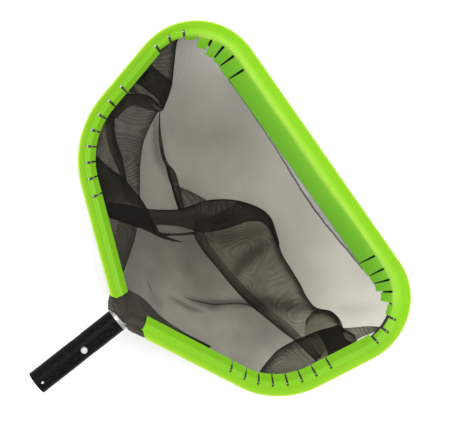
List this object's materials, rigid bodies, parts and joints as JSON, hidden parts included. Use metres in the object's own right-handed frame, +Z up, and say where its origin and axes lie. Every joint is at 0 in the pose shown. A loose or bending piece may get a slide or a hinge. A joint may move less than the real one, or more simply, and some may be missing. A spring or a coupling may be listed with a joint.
{
  "type": "leaf skimmer net",
  "caption": "Hand skimmer for pool leaves: a bent rod frame with a slotted edge guard, a shallow mesh bag and a tubular pole handle with a sprung button catch.",
  "frame": {"origin": "centre of the handle tube's free end, on its axis", "axes": "+X forward along the handle to the net's front edge, +Y left, +Z up out of the net's mouth"},
  "size_m": [0.4327, 0.4817, 0.06],
  "materials": {
    "bare_aluminium": "brushed bright aluminium",
    "cast_insert": "satin cast aluminium",
    "steel_fastener": "satin steel",
    "spring_steel": "rolled spring steel",
    "black_anodised_tube": "black anodised, lightly glossy",
    "button": "satin nickel-plated",
    "green_guard": "lime green extruded plastic, semi-gloss",
    "hem_mesh": "woven mesh sewn double",
    "bag_mesh": "fine see-through woven mesh",
    "binding_tape": "black woven tape",
    "patch_fabric": "dark coarse woven fabric",
    "thread": "twisted polyester thread"
  },
  "bodies": {
    "skimmer": {"frame_rod": "bare_aluminium", "frame_insert": "cast_insert", "insert_screws": "steel_fastener", "handle_tube": "black_anodised_tube", "clip_bend": "spring_steel", "clip_pin": "steel_fastener", "edge_guard": "green_guard", "hem_sleeve": "hem_mesh", "hem_thread": "thread", "net_wall": "bag_mesh", "net_floor": "bag_mesh", "floor_binding": "binding_tape", "floor_thread": "thread", "throat_patch": "patch_fabric", "patch_binding": "binding_tape", "patch_thread": "thread"},
    "upper_catch": {"clip_leg_upper": "spring_steel", "catch_button_upper": "button"},
    "lower_catch": {"clip_leg_lower": "spring_steel", "catch_button_lower": "button"}
  },
  "joints": [
    {"name": "upper_button_press", "type": "hinge", "parent": "skimmer", "child": "upper_catch", "pos_m": [0.01205, 0, 0.0032], "axis": [0, 1, 0], "range_deg": [0, 3.2], "stiffness_Nm_per_rad": 2},
    {"name": "lower_button_press", "type": "hinge", "parent": "skimmer", "child": "lower_catch", "pos_m": [0.01205, 0, -0.0032], "axis": [0, -1, 0], "range_deg": [0, 3.2], "stiffness_Nm_per_rad": 2}
  ]
}
